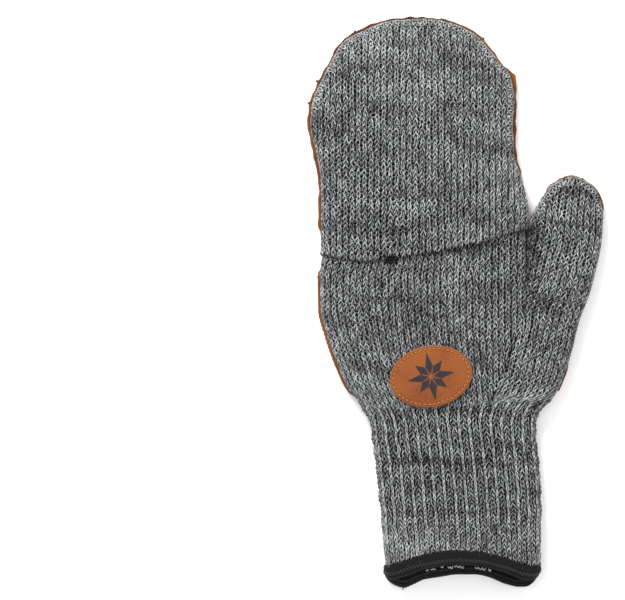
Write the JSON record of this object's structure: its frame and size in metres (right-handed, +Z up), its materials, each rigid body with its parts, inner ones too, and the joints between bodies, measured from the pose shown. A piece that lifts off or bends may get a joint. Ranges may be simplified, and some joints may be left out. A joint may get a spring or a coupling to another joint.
{
  "type": "fishing mitten",
  "caption": "Knitted fishing mitten for the left hand with half fingers, a closed flip cap, suede palm with grip dots, oval badge and bound cuff.",
  "frame": {"origin": "bottom centre of the bounding box, on the surface the mitten lies on", "axes": "+X across the hand to the thumb, +Y from the cuff to the fingertips, +Z up from the palm to the back of the hand"},
  "size_m": [0.1554, 0.2988, 0.0207],
  "materials": {
    "wool_knit": "grey ragg wool, stockinette and ribbed",
    "suede": "tan suede, brushed nap, printed grip dots",
    "badge_suede": "tan suede with a stitched edge and a printed star",
    "elastic": "black woven elastic tape"
  },
  "bodies": {
    "root": {"hand_knit": "wool_knit", "thumb_knit": "wool_knit", "little_knit": "wool_knit", "ring_knit": "wool_knit", "middle_knit": "wool_knit", "index_knit": "wool_knit", "cap_knit": "wool_knit", "cuff_knit": "wool_knit", "cap_leather": "suede", "palm_leather": "suede", "finger_leather": "suede", "back_patch": "badge_suede", "cuff_binding": "elastic"}
  },
  "joints": []
}
